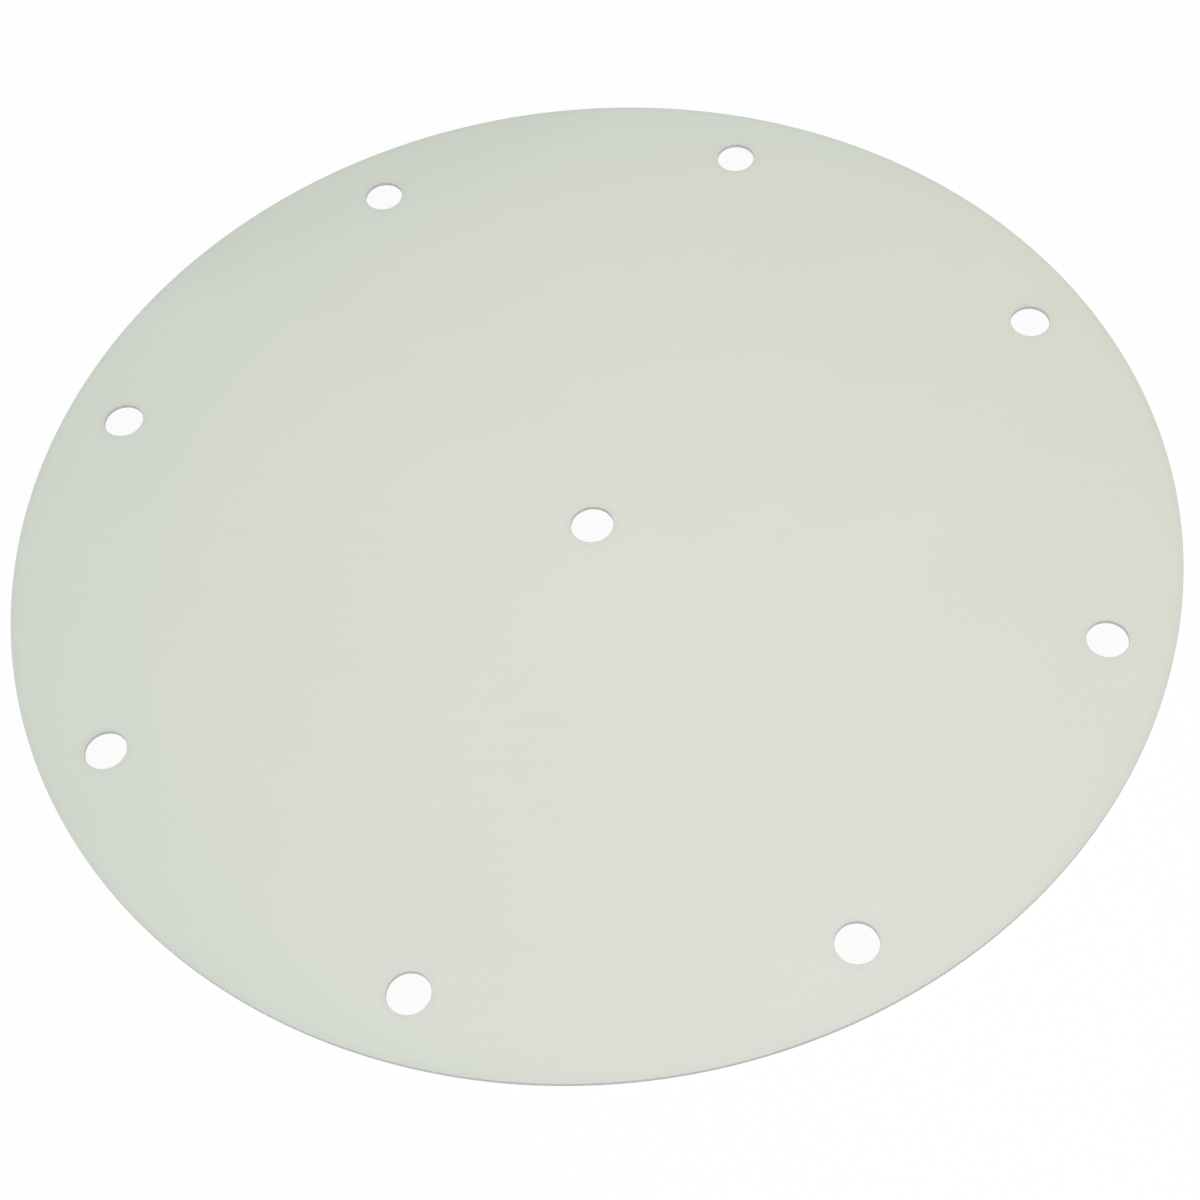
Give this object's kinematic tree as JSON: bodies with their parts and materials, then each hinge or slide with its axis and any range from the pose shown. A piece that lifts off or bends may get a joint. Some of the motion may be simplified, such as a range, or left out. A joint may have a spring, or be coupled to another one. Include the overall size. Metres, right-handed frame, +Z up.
{
  "type": "flat diaphragm seal",
  "caption": "Thin round flat sheet of milky white fluoropolymer, with a ring of bolt holes near its rim and a stem hole at its middle.",
  "frame": {"origin": "middle of the underside, the face that the sheet lies on", "axes": "+Z up through the thickness, towards the face with the rolled edges; +X and +Y each pass midway between two bolt holes"},
  "size_m": [0.2032, 0.2032, 0.0008],
  "materials": {
    "sheet": "smooth matt milky white skived sheet, with a faint green-grey cast"
  },
  "bodies": {
    "root": {"diaphragm": "sheet"}
  },
  "joints": []
}
